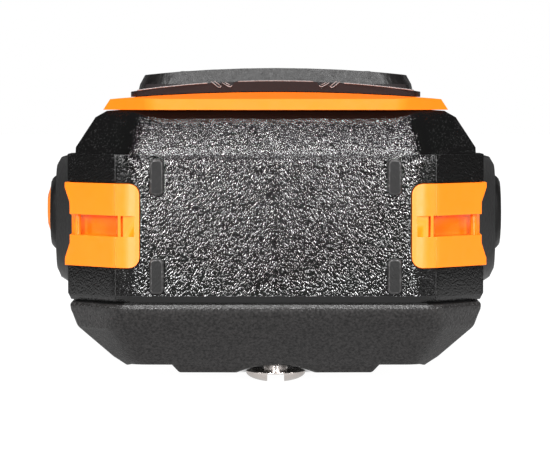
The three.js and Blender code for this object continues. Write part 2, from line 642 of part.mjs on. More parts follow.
// ---------------------------------------------------------------- cells and contacts
const CELL_X = [-1.5, -0.5, 0.5, 1.5].map((n) => n * CELL.pitch);

// Every other cell is turned end for end, so its button faces the other contact.
function cell(index) {
  const forward = index % 2 === 0;
  const start = forward ? CELL.front - 0.9 - CELL.length - 0.3 : CELL.rear + 0.9 + 0.3;
  const end = start + CELL.length;
  const body = cylinder('y', [CELL.z, CELL_X[index]], CELL.radius, start, end, 20);
  const button = forward ? [end - 0.1, end + 0.8] : [start - 0.8, start + 0.1];
  return join(body, cylinder('y', [CELL.z, CELL_X[index]], 1.9, ...button, 12));
}

class Helix extends THREE.Curve {
  constructor(x, from, to) {
    super();
    Object.assign(this, { x, from, to });
  }

  getPoint(t, target = new THREE.Vector3()) {
    const angle = 2 * Math.PI * 3.5 * t;
    const radius = 3.4 - 1.6 * t;
    const y = this.from + (this.to - this.from) * t;
    return target.set(this.x + radius * Math.cos(angle), y, CELL.z + radius * Math.sin(angle));
  }
}

function cellSpring(index) {
  const forward = index % 2 === 0;
  const [from, to] = forward ? [CELL.rear + 0.55, CELL.rear + 4.9] : [CELL.front - 0.55, CELL.front - 4.9];
  const outline = roundRectangle(0, 0, 0.25, 0.25, 0.24, 1);
  const wire = new THREE.Shape(outline.map(([u, v]) => new THREE.Vector2(u, v)));
  const path = new Helix(CELL_X[index], from, to);
  return solidOf(new THREE.ExtrudeGeometry(wire, { steps: 28, bevelEnabled: false, extrudePath: path }));
}

const contactStrip = (y) => join(...[-1, 1].map((side) => (
  box([side > 0 ? 0.6 : -21.2, side > 0 ? 21.2 : -0.6], y, [-19, -11])
)), box([-1, 1], y, [-12.4, -11]));

// ---------------------------------------------------------------- the inside
function mainBoard() {
  const outline = roundRectangle(0, 71, 21.5, 52, 2, 2);
  return prism('z', outline, 12.1, 13.7);
}

function opticsFrame() {
  const block = prism('z', [[-21, 96], [21, 96], [21, 131], [-21, 131]], -7.6, 11.2);
  const barrelHole = cylinder('y', [LASER.z, LASER.x], 4.6, 90, 135, 24);
  const lensSeat = cylinder('y', [RECEIVER.z, RECEIVER.x], RECEIVER.radius + 0.3, 123, 135, 32);
  const lightWay = cylinder('y', [RECEIVER.z, RECEIVER.x], RECEIVER.radius - 1, 90, 135, 32);
  return cut(block, barrelHole, lensSeat, lightWay);
}

function receiverLens() {
  const radius = RECEIVER.radius;
  const arc = Array.from({ length: 7 }, (_, i) => {
    const r = (radius * (6 - i)) / 6;
    return [r, 2 + 2.2 * (1 - (r / radius) ** 2)];
  });
  const upright = turned([[0, 0], [radius, 0], ...arc], 0, 0, 32);
  const turn = new THREE.Matrix4().makeRotationX(-Math.PI / 2).setPosition(RECEIVER.x, 123.3, RECEIVER.z);
  return moved(upright, turn);
}

function laserBarrel() {
  const tube = join(
    cylinder('y', [LASER.z, LASER.x], 4.3, 104, 128, 24),
    cylinder('y', [LASER.z, LASER.x], 5.6, 90, 95.7, 24),
    cylinder('y', [LASER.z, LASER.x], 4.3, 95, 105, 24),
  );
  return cut(tube, cylinder('y', [LASER.z, LASER.x], 2.9, 112, 140, 24));
}

// ---------------------------------------------------------------- assembly
const device = new THREE.Group();

function add(name, solid, material, flip = false) {
  const mesh = new THREE.Mesh(geometryOf(solid.simplify(0.01)), material);
  mesh.name = name;
  mesh.scale.x = flip ? -1 : 1;
  device.add(mesh);
}

function addPair(name, solid, material) {
  add(`${name}_right`, solid, material);
  add(`${name}_left`, solid, material, true);
}

add('upper_housing', upperHousing(), MATERIAL.housing);
add('back_shell', backShell(), MATERIAL.back);
add('battery_cover', batteryCover(), MATERIAL.back);
add('battery_seal', sealRing(0, -13.1, BODY.bottom - 0.1), MATERIAL.rubber);
add('hinge_pin', hingeBar(HINGE.pin, -HINGE.reach + 0.3, HINGE.reach - 0.3), MATERIAL.nickel);
add('coin_screw', coinScrew(), MATERIAL.nickel);
add('screw_retainer', ring(COIN_SCREW.y, COIN_SCREW.shank + 0.1, 3.2, -19.9, -19.3), MATERIAL.alloy);
add('screw_insert', ring(COIN_SCREW.y, 2.5, 3.2, -12, -8.3), MATERIAL.brass);
add('top_frame', topFrame(), MATERIAL.orange);
add('front_bezel', frontBezel(), MATERIAL.bezel);
add('display_window', prism('z', roundRectangle(0, 98, 16.45, 20.85, 2.3), 22, 22.75), MATERIAL.glass);
add('display_panel', prism('z', roundRectangle(0, 98, 15.9, 20.4, 1), 17.4, 19.3), MATERIAL.display);
add('lcd_connector', box([-14, 14], [80, 81.6], [13.9, 17.2]), MATERIAL.silicone);
add('main_board', mainBoard(), MATERIAL.board);
add('keypad_mat', prism('z', roundRectangle(0, 46.3, 17.1, 26, 3), 13.9, 15.6), MATERIAL.silicone);
for (const key of KEYS) {
  add(key[0], keyCap(key), key[0] === 'key_measure' ? MATERIAL.orange : MATERIAL.keyGrey);
}

addPair('side_grip', sideGrip(), MATERIAL.rubber);
add('side_key_right', sideKey(GRIP.half + 0.1), MATERIAL.orange);
add('side_key_left', sideKey(GRIP.half + 0.6), MATERIAL.orange, true);
addPair('strap_lug', strapLug(), MATERIAL.orange);
addPair('rear_pad_upper', padSolid(PAD.upper, 0, PAD.seat), MATERIAL.rubber);
addPair('rear_pad_lower', padSolid(PAD.lower, 0, PAD.seat), MATERIAL.rubber);

add('front_plate', frontPlate(), MATERIAL.glass);
add('receiver_window', windowDisc(RECEIVER), MATERIAL.lens);
add('laser_window', windowDisc(LASER), MATERIAL.lens);
add('optics_frame', opticsFrame(), MATERIAL.alloy);
add('receiver_lens', receiverLens(), MATERIAL.lens);
add('laser_barrel', laserBarrel(), MATERIAL.brass);
add('collimator_lens', cylinder('y', [LASER.z, LASER.x], 2.7, 122, 124.5, 20), MATERIAL.lens);
add('detector_board', box([-17, 3], [93.4, 95], [-7, 9]), MATERIAL.board);
add('buzzer', cylinder('z', [0, 30], 6, 8.4, 11.9, 24), MATERIAL.bezel);

CELL_X.forEach((_, i) => add(`battery_${i + 1}`, cell(i), MATERIAL.cell));
CELL_X.forEach((_, i) => add(`battery_spring_${i + 1}`, cellSpring(i), MATERIAL.nickel));
add('contact_strip_rear', contactStrip([CELL.rear - 0.4, CELL.rear]), MATERIAL.nickel);
add('contact_strip_front', contactStrip([CELL.front, CELL.front + 0.4]), MATERIAL.nickel);
SCREW_PLACES.forEach(([x, y], i) => {
  const place = i ? 'front' : 'rear';
  addPair(`housing_screw_${place}`, housingScrew(x, y, i ? -16.5 : -9.7), MATERIAL.alloy);
});
add('tripod_insert', cut(
  cylinder('z', [0, TRIPOD.y], TRIPOD.outer, BACK.base - 0.2, -13.9, 28),
  cylinder('z', [0, TRIPOD.y], TRIPOD.bore, -30, BACK.base - 0.2 + TRIPOD.depth - 1.2, 28),
), MATERIAL.brass);

const bounds = new THREE.Box3().setFromObject(device, true);
const middle = bounds.getCenter(new THREE.Vector3());
device.position.set(-middle.x, -middle.y, -bounds.min.z);
const part = new THREE.Group();
part.add(device);

export default part;
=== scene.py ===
"""A rugged laser distance meter on a plain pale floor, seen from its rear end.

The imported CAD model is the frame. Shells and rubber parts are remade here with rounded edges, the coin
screw is modelled afresh, and every material is procedural. Everything is in metres, in the CAD model's frame.
"""

import json
import math

import bmesh
import bpy
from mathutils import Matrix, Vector


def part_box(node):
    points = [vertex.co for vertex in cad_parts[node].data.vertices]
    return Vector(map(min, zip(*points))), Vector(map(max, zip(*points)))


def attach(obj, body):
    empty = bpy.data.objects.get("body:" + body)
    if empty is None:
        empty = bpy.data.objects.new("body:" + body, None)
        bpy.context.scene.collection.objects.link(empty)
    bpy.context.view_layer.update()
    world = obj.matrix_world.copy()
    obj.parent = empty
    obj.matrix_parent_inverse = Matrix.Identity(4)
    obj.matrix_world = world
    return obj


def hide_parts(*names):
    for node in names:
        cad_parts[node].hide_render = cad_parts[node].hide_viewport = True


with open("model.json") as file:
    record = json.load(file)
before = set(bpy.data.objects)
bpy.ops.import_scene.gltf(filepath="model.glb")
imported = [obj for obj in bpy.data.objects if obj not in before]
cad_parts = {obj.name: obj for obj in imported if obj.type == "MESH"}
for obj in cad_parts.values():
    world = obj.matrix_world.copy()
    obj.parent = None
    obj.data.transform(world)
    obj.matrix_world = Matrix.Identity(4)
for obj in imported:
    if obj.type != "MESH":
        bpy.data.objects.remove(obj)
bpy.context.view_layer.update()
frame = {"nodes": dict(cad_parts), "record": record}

MM = 0.001
BODIES = frame["record"]["behaviour"]["bodies"]
BODY_OF = {node: body for body, nodes in BODIES.items() for node in nodes}
SLOT_OF = {part["node"]: part["material_slot"] for part in frame["record"]["subparts"]}

# The meter's middle plane, the plane of its rear pads, the level halfway up its bumpers, and their top.
LUG_HALF_HEIGHT = 6.15 * MM
BUMPER_HALF_HEIGHT = 10.5 * MM
COVER_LOW, COVER_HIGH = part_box("battery_cover")
MIDDLE_X = (COVER_LOW.x + COVER_HIGH.x) / 2
REAR_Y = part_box("rear_pad_upper_right")[0].y
LEVEL_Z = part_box("strap_lug_right")[1].z - LUG_HALF_HEIGHT
BUMPER_Z = LEVEL_Z + BUMPER_HALF_HEIGHT


# ---------------------------------------------------------------- camera, light and floor
CAMERA_DISTANCE = 433 * MM
CAMERA_RISE = math.radians(2.5)
CAMERA_LENS = 188.8
SENSOR_WIDTH = 36
LIGHT_DISTANCE = 1.0
FLOOR_RADIUS = 3


def make_camera():
    """A long lens behind the meter's rear end, a little above its level."""
    target = Vector((MIDDLE_X - 0.1 * MM, REAR_Y, LEVEL_Z))
    away = Vector((0, -math.cos(CAMERA_RISE), math.sin(CAMERA_RISE)))
    camera = bpy.data.objects.new("camera", bpy.data.cameras.new("camera"))
    bpy.context.scene.collection.objects.link(camera)
    camera.data.lens = CAMERA_LENS
    camera.data.sensor_width = SENSOR_WIDTH
    camera.data.clip_start = 0.01
    camera.location = target + away * CAMERA_DISTANCE
    camera.rotation_mode = "QUATERNION"
    camera.rotation_quaternion = (-away).to_track_quat("-Z", "Y")
    bpy.context.scene.camera = camera


def softbox(name, azimuth, elevation, size, power):
    """A flat light aimed at the meter. Azimuth 0 is the camera's side, and 90 is the meter's right."""
    around = math.radians(azimuth)
    up = math.radians(elevation)
    way = Vector((math.sin(around) * math.cos(up), -math.cos(around) * math.cos(up), math.sin(up)))
    data = bpy.data.lights.new(name, "AREA")
    data.shape = "RECTANGLE"
    data.size, data.size_y = size
    data.energy = power
    light = bpy.data.objects.new(name, data)
    bpy.context.scene.collection.objects.link(light)
    light.location = Vector((MIDDLE_X, 0, LEVEL_Z)) + way * LIGHT_DISTANCE
    light.rotation_mode = "QUATERNION"
    light.rotation_quaternion = way.to_track_quat("Z", "Y")


def make_world():
    """White to the camera, and a dim room to everything else, so that gloss has something dark to show."""
    world = bpy.data.worlds.new("studio")
    world.use_nodes = True
    bpy.context.scene.world = world
    nodes, links = world.node_tree.nodes, world.node_tree.links
    nodes.clear()
    path = nodes.new("ShaderNodeLightPath")
    room = nodes.new("ShaderNodeBackground")
    room.inputs["Color"].default_value = (0.03, 0.03, 0.031, 1)
    backdrop = nodes.new("ShaderNodeBackground")
    backdrop.inputs["Color"].default_value = (1, 1, 1, 1)
    mix = nodes.new("ShaderNodeMixShader")
    out = nodes.new("ShaderNodeOutputWorld")
    links.new(path.outputs["Is Camera Ray"], mix.inputs["Fac"])
    links.new(room.outputs[0], mix.inputs[1])
    links.new(backdrop.outputs[0], mix.inputs[2])
    links.new(mix.outputs[0], out.inputs["Surface"])


def make_floor():
    """A pale floor that the camera sees white, but for a dark strip under the meter's middle, a painted
    shadow.

    Everything else sees a dimmer painted glow: brighter beyond the meter's sides than beneath it, and fading
    out farther away."""
    bm = bmesh.new()
    bmesh.ops.create_circle(bm, cap_ends=True, radius=FLOOR_RADIUS, segments=64)
    mesh = bpy.data.meshes.new("floor")
    bm.to_mesh(mesh)
    bm.free()
    floor = bpy.data.objects.new("floor", mesh)
    bpy.context.scene.collection.objects.link(floor)
    shader = Shader("floor_pale")
    shader.set("Base Color", (0.12, 0.12, 0.12, 1))
    shader.set("Roughness", 0.9)
    shader.set("Specular IOR Level", 0.0)
    shader.set("Emission Color", (1, 1, 1, 1))
    spread = shader.node("VectorMath", {0: shader.place}, operation="LENGTH").outputs["Value"]
    corner = shader.node("SeparateXYZ", {0: shader.place})
    beside = shader.math("ABSOLUTE", shader.math("SUBTRACT", corner.outputs["X"], MIDDLE_X / MM))
    # Painted shadow: the floor that the camera sees is dark where it lies under the meter's middle.
    across = shader.ramp(beside, 4, 6)
    along = shader.ramp(shader.math("ABSOLUTE", corner.outputs["Y"]), 40, 43)
    outside_painted_shadow = shader.math("MAXIMUM", across, along)
    seen_white_with_painted_shadow = shader.math("MULTIPLY", shader.ramp(spread, 90, 300, 0.98, 1.05), outside_painted_shadow)
    # Painted light: gloss sees the floor glow, dimmer beneath the meter, brighter beyond its sides and fading
    # farther away.
    faded = shader.ramp(spread, 90, 240, 0.55, 0.0)
    painted_glow_for_reflections = shader.math("MULTIPLY", faded, shader.ramp(beside, 36, 46, 1.0, 1.6))
    seen = shader.node("LightPath").outputs["Is Camera Ray"]
    shader.link(shader.choose(seen, painted_glow_for_reflections, seen_white_with_painted_shadow), "Emission Strength")
    mesh.materials.append(shader.material)


# ---------------------------------------------------------------- materials
# How much longer the grain's pebbles are than wide, and which way they lean on the meter's left.
PEBBLE_STRETCH = 0.6
PEBBLE_WAY = Vector((0.42, 0.0, 0.9075))


class Shader:
    """A Principled material with short ways to add nodes. Texture coordinates are in millimetres."""

    def __init__(self, name):
        self.material = bpy.data.materials.new(name)
        self.material.use_nodes = True
        self.tree = self.material.node_tree
        self.bsdf = self.tree.nodes["Principled BSDF"]
        self._place = None

    def set(self, socket, value):
        self.bsdf.inputs[socket].default_value = value

    def link(self, source, socket):
        self.tree.links.new(source, self.bsdf.inputs[socket])

    def node(self, kind, inputs=(), **settings):
        made = self.tree.nodes.new("ShaderNode" + kind)
        for key, value in settings.items():
            setattr(made, key, value)
        for key, value in dict(inputs).items():
            if isinstance(value, bpy.types.NodeSocket):
                self.tree.links.new(value, made.inputs[key])
            else:
                made.inputs[key].default_value = value
        return made

    @property
    def place(self):
        """The point's place on the piece, in millimetres."""
        if self._place is None:
            coordinates = self.node("TexCoord")
            inputs = {0: coordinates.outputs["Object"], "Scale": 1 / MM}
            self._place = self.node("VectorMath", inputs, operation="SCALE").outputs["Vector"]
        return self._place

    def noise(self, size, detail=2.0, place=None):
        """Noise from 0 to 1 with blobs about size millimetres across."""
        made = self.node("TexNoise", {"Vector": place or self.place, "Scale": 1 / size, "Detail": detail})
        return made.outputs["Fac"]

    def cells(self, size, place):
        """Distance from the middle of cells about size millimetres across."""
        made = self.node("TexVoronoi", {"Vector": place, "Scale": 1 / size}, feature="SMOOTH_F1")
        return made.outputs["Distance"]

    def math(self, operation, a, b=0.0):
        made = self.node("Math", {0: a, 1: b}, operation=operation)
        return made.outputs[0]

    def ramp(self, value, low, high, out_low=0.0, out_high=1.0):
        made = self.node("MapRange", {
            "Value": value, "From Min": low, "From Max": high, "To Min": out_low, "To Max": out_high,
        })
        return made.outputs["Result"]

    def choose(self, amount, low, high):
        """A number that goes from low to high as amount goes from 0 to 1."""
        return self.node("Mix", {"Factor": amount, "A": low, "B": high}).outputs["Result"]

    def blend(self, amount, a, b):
        """A colour that goes from a to b as amount goes from 0 to 1."""
        made = self.node("MixRGB", {"Fac": amount, "Color1": a, "Color2": b})
        return made.outputs["Color"]

    def bump(self, height, depth, after=None):
        """A bump of that depth in millimetres."""
        inputs = {"Height": height, "Distance": depth * MM, "Strength": 1.0}
        if after is not None:
            inputs["Normal"] = after
        return self.node("Bump", inputs).outputs["Normal"]


def pebbles(shader, grain, way):
    """The height of a pebbled grain, drawn out along a direction."""
    along = shader.node("VectorMath", {0: shader.place, 1: way}, operation="DOT_PRODUCT").outputs["Value"]
    pulled = shader.math("MULTIPLY", along, -PEBBLE_STRETCH)
    shift = shader.node("VectorMath", {0: way, "Scale": pulled}, operation="SCALE").outputs["Vector"]
    place = shader.node("VectorMath", {0: shader.place, 1: shift}, operation="ADD").outputs["Vector"]
    warp = shader.node("TexNoise", {"Vector": place, "Scale": 0.6 / grain, "Detail": 1.0})
    bent = shader.node("VectorMath", {0: warp.outputs["Color"], "Scale": grain * 0.8}, operation="SCALE")
    shifts = {0: place, 1: bent.outputs["Vector"]}
    place = shader.node("VectorMath", shifts, operation="ADD").outputs["Vector"]
    domes = shader.math("MULTIPLY", shader.cells(grain, place), -0.8)
    return shader.math("ADD", domes, shader.math("MULTIPLY", shader.noise(grain * 1.5, 0.0, place), 0.4))


def grained(name, color, roughness, grain, depth, gloss=0.5, mottle=0.15, ripple=0.0, speckle=0.0):
    """Moulded plastic or rubber with a pebbled grain.

    Grain is the pebbles' size and depth their height, in millimetres. They lean opposite ways on the two
    sides of the middle plane. Ripple is the depth of wider waves, drawn out up and down, and speckle how much
    the colour changes from pebble to pebble."""
    shader = Shader(name)
    across = shader.node("SeparateXYZ", {0: shader.place}).outputs["X"]
    side = shader.ramp(across, MIDDLE_X / MM - 0.25, MIDDLE_X / MM + 0.25)
    left, right = [pebbles(shader, grain, way) for way in (PEBBLE_WAY, PEBBLE_WAY * Vector((-1, 1, 1)))]
    normal = shader.bump(shader.choose(side, left, right), depth)
    if ripple:
        tall = shader.node("VectorMath", {0: shader.place, 1: (1, 1, 0.3)}, operation="MULTIPLY")
        normal = shader.bump(shader.noise(1.1, 2.0, tall.outputs["Vector"]), ripple, normal)
    dark = tuple(c * (1 - mottle) for c in color) + (1,)
    light = tuple(c * (1 + mottle) for c in color) + (1,)
    shade = shader.blend(shader.noise(9.0, 3.0), dark, light)
    if speckle:
        fleck = shader.ramp(shader.noise(grain * 2, 1.0), 0.3, 0.7, 1 - speckle, 1 + speckle)
        shade = shader.node("VectorMath", {0: shade, "Scale": fleck}, operation="SCALE").outputs["Vector"]
    shader.link(shade, "Base Color")
    sheen = shader.ramp(shader.noise(grain * 3, 2.0), 0.3, 0.7, roughness * 0.9, roughness * 1.1)
    shader.link(sheen, "Roughness")
    shader.link(normal, "Normal")
    shader.set("Specular IOR Level", gloss)
    return shader.material


def moulded(name, color, roughness, gloss=0.5, fine=0.004, mottle=0.06):
    """Plain moulded plastic with a very fine grain."""
    shader = Shader(name)
    normal = shader.bump(shader.noise(0.22, 2.0), fine)
    dark = tuple(c * (1 - mottle) for c in color) + (1,)
    light = tuple(min(1, c * (1 + mottle)) for c in color) + (1,)
    shader.link(shader.blend(shader.noise(6.0, 3.0), dark, light), "Base Color")
    sheen = shader.ramp(shader.noise(1.5, 3.0), 0.3, 0.7, roughness * 0.88, roughness * 1.12)
    shader.link(sheen, "Roughness")
    shader.link(normal, "Normal")
    shader.set("Specular IOR Level", gloss)
    return shader.material


def turned_metal(name, color, roughness):
    """Plated metal with fine scratches and slight stains."""
    shader = Shader(name)
    shader.set("Metallic", 1.0)
    normal = shader.bump(shader.noise(0.12, 4.0), 0.006)
    dark = tuple(c * 0.75 for c in color) + (1,)
    shader.link(shader.blend(shader.noise(2.0, 4.0), dark, color + (1,)), "Base Color")
    sheen = shader.ramp(shader.noise(0.8, 4.0), 0.3, 0.7, roughness * 0.7, roughness * 1.3)
    shader.link(sheen, "Roughness")
    shader.link(normal, "Normal")
    return shader.material


def clear(name, color):
    """Clear glass or plastic with a slight smear."""
    shader = Shader(name)
    shader.set("Base Color", color + (1,))
    shader.set("Transmission Weight", 1.0)
    shader.set("IOR", 1.5)
    smear = shader.ramp(shader.noise(5.0, 4.0), 0.4, 0.8, 0.02, 0.08)
    shader.link(smear, "Roughness")
    return shader.material


BACK_BLACK = (0.0155, 0.0146, 0.0144)


def make_materials():
    """One material for each material slot, and more for the printing, the display and two faces.

    The bezel flange's rear faces get a duller grey copy of the bezel plastic, a painted shade.
    """
    black = (0.0035, 0.0034, 0.0034)
    bezel_black = (0.003, 0.0027, 0.0027)
    # The grey of the bezel flange's rear faces, a painted shade.
    bezel_painted_shade_grey = (0.017, 0.0145, 0.015)
    rubber_black = (0.0045, 0.0044, 0.0044)
    orange = (0.94, 0.188, 0.003)
    return {
        "black_plastic": grained("black_plastic", black, 0.085, grain=0.148, depth=0.06),
        "back_plastic": grained(
            "back_plastic", BACK_BLACK, 0.32, grain=0.2, depth=0.07, gloss=0.32, speckle=0.6,
        ),
        "bezel_plastic": grained(
            "bezel_plastic", bezel_black, 0.42, grain=0.24, depth=0.02, gloss=0.36, ripple=0.15,
        ),
        "bezel_matt_painted_shade": grained("bezel_matt_painted_shade", bezel_painted_shade_grey, 0.6, grain=0.24, depth=0.02, gloss=0.08),
        "orange_plastic": moulded("orange_plastic", orange, 0.38),
        "frame_orange": moulded("frame_orange", (0.91, 0.147, 0.003), 0.55, gloss=0.2),
        "orange_rubber": moulded("orange_rubber", (0.92, 0.21, 0.006), 0.55),
        "black_rubber": grained("black_rubber", rubber_black, 0.48, grain=0.25, depth=0.03, gloss=0.2),
        "key_rubber": moulded("key_rubber", (0.06, 0.06, 0.062), 0.6),
        "silicone": moulded("silicone", (0.3, 0.3, 0.31), 0.6),
        "display": moulded("display", (0.26, 0.30, 0.24), 0.3),
        "clear_window": clear("clear_window", (0.9, 0.93, 0.92)),
        "smoked_plate": moulded("smoked_plate", (0.006, 0.006, 0.008), 0.12, fine=0.0005),
        "optical_glass": clear("optical_glass", (0.75, 0.85, 0.95)),
        "circuit_board": moulded("circuit_board", (0.01, 0.12, 0.04), 0.4),
        "nickel": turned_metal("nickel", (0.86, 0.79, 0.75), 0.2),
        "steel": turned_metal("steel", (0.58, 0.58, 0.6), 0.35),
        "alloy": turned_metal("alloy", (0.5, 0.5, 0.52), 0.45),
        "brass": turned_metal("brass", (0.72, 0.52, 0.24), 0.3),
        "cell_can": moulded("cell_can", (0.03, 0.16, 0.32), 0.3),
        "print": moulded("print", (0.72, 0.72, 0.70), 0.5),
        "segments": moulded("segments", (0.015, 0.018, 0.016), 0.35),
    }


def worn_painted_highlight(name, color, roughness, painted_highlight_gain=1.9):
    """The smoother plastic along an edge that has been handled, painted lighter in patches: a painted
    highlight.
    """
    shader = Shader(name + "_worn")
    scuffs_and_painted_highlight = shader.noise(0.7, 4.0)
    light = tuple(min(1, c * painted_highlight_gain) for c in color) + (1,)
    shader.link(shader.blend(shader.ramp(scuffs_and_painted_highlight, 0.45, 0.65), color + (1,), light), "Base Color")
    shader.link(shader.ramp(scuffs_and_painted_highlight, 0.3, 0.7, roughness * 0.8, roughness * 1.2), "Roughness")
    shader.link(shader.bump(shader.noise(0.3, 2.0), 0.008), "Normal")
    return shader.material


def make_worn_and_painted_highlight_edges():
    """The materials of handled, smoother edges, by the slot they belong to; the last is for the bezel's lips
    and ribs.

    All but back_plastic's are painted lighter, a painted highlight.
    """
    return {
        "black_plastic": worn_painted_highlight("black_plastic", (0.008, 0.0078, 0.0078), 0.3),
        "back_plastic": grained("back_plastic_worn", BACK_BLACK, 0.24, grain=0.2, depth=0.09, gloss=0.35),
        "bezel_plastic": worn_painted_highlight("bezel_plastic", (0.03, 0.027, 0.028), 0.2),
        # Painted highlight: the light grey of the bezel's lips and ribs.
        "bezel_rubbed": worn_painted_highlight("bezel_rubbed", (0.16, 0.135, 0.13), 0.3, painted_highlight_gain=1.4),
        "black_rubber": worn_painted_highlight("black_rubber", (0.024, 0.0232, 0.0232), 0.25),
        "key_rubber": worn_painted_highlight("key_rubber", (0.07, 0.07, 0.072), 0.55),
    }


# ---------------------------------------------------------------- pieces remade from CAD nodes
SHARP = math.radians(22)
NEARLY_FLAT = math.radians(0.4)
EXACTLY_FLAT = math.radians(0.01)

# Pieces with openings or steps that a merged face would close.
HOLED = ("battery_cover", "side_grip_right", "side_grip_left")


# Points this close are one point.
SAME_POINT = 0.002 * MM

# The hairline ledge along the top of the housing's bumper, which is closed between the corners.
LEDGE_HALF_LENGTH = 20.5 * MM
LEDGE_REACH = 1.5 * MM
LEDGE_HALF_HEIGHT = 0.15 * MM
LEDGE_DEPTH = 0.6 * MM


def on_ledge(point):
    across = abs(point.x - MIDDLE_X) < LEDGE_HALF_LENGTH
    rear = point.y < REAR_Y + LEDGE_REACH
    return across and rear and abs(point.z - BUMPER_Z) < LEDGE_HALF_HEIGHT


def clean_copy(node):
    """The CAD node's surface as a bmesh, with its flat stretches joined into single faces."""
    bm = bmesh.new()
    bm.from_mesh(frame["nodes"][node].data)
    bmesh.ops.remove_doubles(bm, verts=bm.verts, dist=SAME_POINT)
    if node == "upper_housing":
        ledge = [vert for vert in bm.verts if on_ledge(vert.co)]
        bmesh.ops.remove_doubles(bm, verts=ledge, dist=LEDGE_DEPTH)
    limit = EXACTLY_FLAT if node in HOLED else NEARLY_FLAT
    bmesh.ops.dissolve_limit(
        bm, angle_limit=limit, verts=bm.verts, edges=bm.edges, use_dissolve_boundaries=False,
    )
    return bm


# How much of the face or edge beside a corner its rounding may take up.
ROOM_SHARE = 0.4


def weigh_edges(bm, width):
    """Marks each outer corner with how much of the bevel's width it has room for.

    Inner corners are kept sharp."""
    weight = bm.edges.layers.float.new("bevel_weight_edge")
    for edge in bm.edges:
        if len(edge.link_faces) != 2 or edge.calc_face_angle() < SHARP:
            continue
        if not edge.is_convex:
            edge.smooth = False
            continue
        beside = min(face.calc_area() / edge.calc_length() for face in edge.link_faces)
        ends = [other.calc_length() for v in edge.verts for other in v.link_edges if other is not edge]
        edge[weight] = min(1, ROOM_SHARE * min([beside, *ends]) / width)


def finish_piece(name, bm, node, materials, width=0.0, segments=3):
    """A piece that stands for a CAD node, with its edges rounded to width millimetres.

    The last of its materials goes on the rounded edges."""
    if width:
        weigh_edges(bm, width * MM)
    mesh = bpy.data.meshes.new(name)
    bm.to_mesh(mesh)
    bm.free()
    for material in materials:
        mesh.materials.append(material)
    for polygon in mesh.polygons:
        polygon.use_smooth = True
    piece = bpy.data.objects.new(name, mesh)
    bpy.context.scene.collection.objects.link(piece)
    if width:
        bevel = piece.modifiers.new("round_edges", "BEVEL")
        bevel.width = width * MM
        bevel.segments = segments
        bevel.limit_method = "WEIGHT"
        bevel.use_clamp_overlap = True
        bevel.miter_outer = "MITER_ARC"
        bevel.material = len(materials) - 1
    shade = piece.modifiers.new("even_normals", "WEIGHTED_NORMAL")
    shade.weight = 90
    shade.keep_sharp = True
    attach(piece, BODY_OF[node])
    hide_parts(node)
    return piece


ROUNDING = {
    "upper_housing": 0.3, "battery_cover": 0.5, "back_shell": 0.5, "top_frame": 0.25, "front_bezel": 0.2,
    "strap_lug_right": 0.35, "strap_lug_left": 0.35, "side_grip_right": 0.3, "side_grip_left": 0.3,
    "side_key_right": 0.3, "side_key_left": 0.3, "front_plate": 0.25,
    **{node: 0.28 for node in frame["nodes"] if node.startswith("rear_pad_")},
    **{node: 0.25 for node in frame["nodes"] if node.startswith("key_")},
}


def coat_faces(bm, wanted):
    """Gives the wanted faces the piece's second material."""
    for face in bm.faces:
        if wanted(face):
            face.material_index = 1


# How far the bezel's flange lies below its top.
FLANGE_DROP = 2 * MM


def is_pad_chamfer(face):
    """Whether the face leans, neither facing straight to the rear nor to a side."""
    return -0.95 < face.normal.y < -0.3


def is_flange_rear(face):
    flange_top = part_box("front_bezel")[1].z - FLANGE_DROP
    return face.normal.y < -0.6 and face.calc_center_median().z < flange_top


def make_rounded_pieces(materials, worn_and_painted_highlight_edges):
    """The rounded pieces, by the name of the CAD node that each one stands for."""
    pieces = {}
    for node, width in ROUNDING.items():
        slot = SLOT_OF[node]
        coats = [materials["frame_orange" if node == "top_frame" else slot]]
        # Most slots add the lighter edge material, a painted highlight along the rounded edges.
        if slot in worn_and_painted_highlight_edges:
            coats.append(worn_and_painted_highlight_edges[slot])
        bm = clean_copy(node)
        # Painted highlight: the pads' leaning faces get the lighter edge rubber, a lit rim.
        if node.startswith("rear_pad"):
            coat_faces(bm, is_pad_chamfer)
        elif node == "front_bezel":
            # Painted shade: the flange's rear faces get a duller grey copy of the bezel plastic.
            coats.insert(1, materials["bezel_matt_painted_shade"])
            coat_faces(bm, is_flange_rear)
        pieces[node] = finish_piece(node + "_rounded", bm, node, coats, width)
    return pieces


# ---------------------------------------------------------------- the coin screw
def revolve(profile, center, segments=72):
    """A closed turned body from (radius, height) points, in metres, that starts and ends on its axis."""
    bm = bmesh.new()
    rings = []
    for radius, height in profile:
        if radius == 0:
            rings.append([bm.verts.new((center.x, center.y, height))])
            continue
        turns = [2 * math.pi * i / segments for i in range(segments)]
        places = [(center.x + radius * math.cos(t), center.y + radius * math.sin(t), height) for t in turns]
        rings.append([bm.verts.new(place) for place in places])
    for low, high in zip(rings, rings[1:]):
        for i in range(segments):
            near = [low[i % len(low)], low[(i + 1) % len(low)]]
            far = [high[(i + 1) % len(high)], high[i % len(high)]]
            bm.faces.new(list(dict.fromkeys(near + far)))
    bmesh.ops.recalc_face_normals(bm, faces=bm.faces)
    return bm


